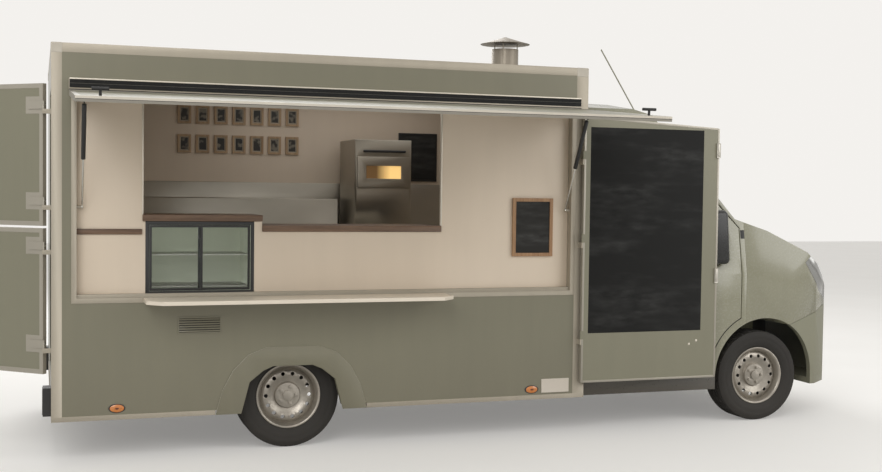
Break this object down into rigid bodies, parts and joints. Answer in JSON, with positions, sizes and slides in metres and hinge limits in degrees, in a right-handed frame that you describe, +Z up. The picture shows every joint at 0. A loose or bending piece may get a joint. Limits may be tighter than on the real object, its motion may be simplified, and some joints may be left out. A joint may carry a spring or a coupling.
{
  "type": "food truck",
  "caption": "Food truck: box body with a long serving hatch, counter, fold-down shelf, menu leaf, rear stable doors and a glazed van cab on four wheels.",
  "frame": {"origin": "middle of the footprint of the whole truck as it stands serving, on the ground", "axes": "+X to the vehicle's front, +Y to its left, away from the serving side, +Z up"},
  "size_m": [6.6636, 3.5528, 2.986],
  "materials": {
    "body_paint": "satin sage green paint",
    "aluminium": "satin anodised",
    "white_panel": "smooth white laminate",
    "wood": "oiled counter wood",
    "picture_wood": "pale frame wood",
    "stainless": "brushed stainless",
    "black_plastic": "grained black",
    "dark_metal": "black chassis paint",
    "cast_iron": "raw casting",
    "rim_steel": "silver wheel paint",
    "tyre": "black rubber",
    "glass": "clear",
    "lamp_clear": "clear lamp cover",
    "lamp_red": "red lens",
    "blackboard": "matt blackboard",
    "seat_fabric": "dark woven cloth",
    "roof_skin": "white roof skin",
    "chrome": "polished"
  },
  "bodies": {
    "truck_body": {"front_axle": "dark_metal", "rear_axle": "dark_metal", "cross_members": "dark_metal", "floor_bearers": "dark_metal", "chassis_rails": "dark_metal", "engine_block": "cast_iron", "tank_and_exhaust": "dark_metal", "box_wall_right": "body_paint", "box_wall_left": "body_paint", "box_front_wall": "body_paint", "box_rear_wall": "body_paint", "box_roof": "roof_skin", "box_floor": "black_plastic", "rear_arches": "body_paint", "serving_wall": "white_panel", "counters": "wood", "drinks_fridge": "black_plastic", "base_cabinet": "white_panel", "hatch_frame": "aluminium", "prep_counter": "stainless", "pizza_oven": "stainless", "wall_pictures": "picture_wood", "edge_profiles": "aluminium", "roof_flue": "stainless", "headlamps": "lamp_clear", "front_bumper": "body_paint", "cab_door_right": "body_paint", "fixed_glass": "glass", "mirror_right": "black_plastic", "dashboard": "black_plastic", "cab_seats": "seat_fabric", "body_lamps": "lamp_red", "cab_shell": "body_paint", "front_wings": "body_paint", "cab_floor": "body_paint"},
    "hatch": {"hatch": "body_paint"},
    "strut_cylinder_rear": {"strut_cylinder_rear": "black_plastic"},
    "strut_cylinder_front": {"strut_cylinder_front": "black_plastic"},
    "strut_rod_rear": {"strut_rod_rear": "chrome"},
    "strut_rod_front": {"strut_rod_front": "chrome"},
    "service_shelf": {"service_shelf": "aluminium"},
    "menu_leaf": {"menu_leaf": "body_paint", "menu_board": "blackboard"},
    "rear_door_upper": {"rear_door_upper": "body_paint"},
    "rear_door_lower": {"rear_door_lower": "body_paint"},
    "cab_door_left": {"cab_door_left": "body_paint", "door_glass_left": "glass", "mirror_left": "black_plastic"},
    "bonnet": {"bonnet": "body_paint"},
    "knuckle_left": {"knuckle_left": "cast_iron"},
    "knuckle_right": {"knuckle_right": "cast_iron"},
    "wheel_front_left": {"tyre_front_left": "tyre", "rim_front_left": "rim_steel"},
    "wheel_front_right": {"tyre_front_right": "tyre", "rim_front_right": "rim_steel"},
    "wheel_rear_left": {"tyre_rear_left": "tyre", "rim_rear_left": "rim_steel"},
    "wheel_rear_right": {"tyre_rear_right": "tyre", "rim_rear_right": "rim_steel"}
  },
  "joints": [
    {"name": "hatch_hinge", "type": "hinge", "parent": "truck_body", "child": "hatch", "pos_m": [-0.88919, -0.47861, 2.36], "axis": [1, 0, 0], "range_deg": [0, 84.4]},
    {"name": "shelf_hinge", "type": "hinge", "parent": "truck_body", "child": "service_shelf", "pos_m": [-1.16969, -0.45561, 1.035], "axis": [1, 0, 0], "range_deg": [0, 90]},
    {"name": "menu_leaf_hinge", "type": "hinge", "parent": "truck_body", "child": "menu_leaf", "pos_m": [0.88481, -0.48961, 0.385], "axis": [0, 0, -1], "range_deg": [0, 90]},
    {"name": "rear_door_upper_hinge", "type": "hinge", "parent": "truck_body", "child": "rear_door_upper", "pos_m": [-2.79319, -0.42361, 2.4], "axis": [0, 0, 1], "range_deg": [-48, 132]},
    {"name": "rear_door_lower_hinge", "type": "hinge", "parent": "truck_body", "child": "rear_door_lower", "pos_m": [-2.79319, -0.42361, 0.575], "axis": [0, 0, 1], "range_deg": [-48, 132]},
    {"name": "cab_door_left_hinge", "type": "hinge", "parent": "truck_body", "child": "cab_door_left", "pos_m": [2.29681, 1.69739, 0.42], "axis": [0, 0, -1], "range_deg": [0, 70]},
    {"name": "bonnet_hinge", "type": "hinge", "parent": "truck_body", "child": "bonnet", "pos_m": [2.28681, 0.66239, 1.564], "axis": [0, -1, 0], "range_deg": [0, 55]},
    {"name": "steer_left", "type": "hinge", "parent": "truck_body", "child": "knuckle_left", "pos_m": [2.49181, 1.45239, 0.3495], "axis": [0, 0, 1], "range_deg": [-35, 35]},
    {"name": "steer_right", "type": "hinge", "parent": "truck_body", "child": "knuckle_right", "pos_m": [2.49181, -0.12761, 0.3495], "axis": [0, 0, 1], "range_deg": [-35, 35]},
    {"name": "spin_front_left", "type": "hinge", "parent": "knuckle_left", "child": "wheel_front_left", "pos_m": [2.49181, 1.53739, 0.3495], "axis": [0, 1, 0], "continuous": true},
    {"name": "spin_front_right", "type": "hinge", "parent": "knuckle_right", "child": "wheel_front_right", "pos_m": [2.49181, -0.21261, 0.3495], "axis": [0, 1, 0], "continuous": true},
    {"name": "spin_rear_left", "type": "hinge", "parent": "truck_body", "child": "wheel_rear_left", "pos_m": [-1.20819, 1.52739, 0.3495], "axis": [0, 1, 0], "continuous": true},
    {"name": "spin_rear_right", "type": "hinge", "parent": "truck_body", "child": "wheel_rear_right", "pos_m": [-1.20819, -0.20261, 0.3495], "axis": [0, 1, 0], "continuous": true},
    {"name": "strut_eye_rear", "type": "hinge", "parent": "hatch", "child": "strut_cylinder_rear", "pos_m": [-2.56019, -0.75698, 2.27845], "axis": [-1, 0, 0], "range_deg": [0, 110.54]},
    {"name": "strut_slide_rear", "type": "slide", "parent": "strut_cylinder_rear", "child": "strut_rod_rear", "axis": [0, -0.4743, 0.8804], "range_m": [0, 0.29135]},
    {"name": "strut_eye_front", "type": "hinge", "parent": "hatch", "child": "strut_cylinder_front", "pos_m": [0.78181, -0.75698, 2.27845], "axis": [-1, 0, 0], "range_deg": [0, 110.54]},
    {"name": "strut_slide_front", "type": "slide", "parent": "strut_cylinder_front", "child": "strut_rod_front", "axis": [0, -0.4743, 0.8804], "range_m": [0, 0.29135]}
  ],
  "couplings": [
    {"joint": "steer_right", "follows": "steer_left", "ratio": 1},
    {"joint": "strut_eye_rear", "follows": "hatch_hinge", "ratio": 1.3096},
    {"joint": "strut_slide_rear", "follows": "hatch_hinge", "m_per_rad": 0.19772},
    {"joint": "strut_eye_front", "follows": "hatch_hinge", "ratio": 1.3096},
    {"joint": "strut_slide_front", "follows": "hatch_hinge", "m_per_rad": 0.19772}
  ]
}
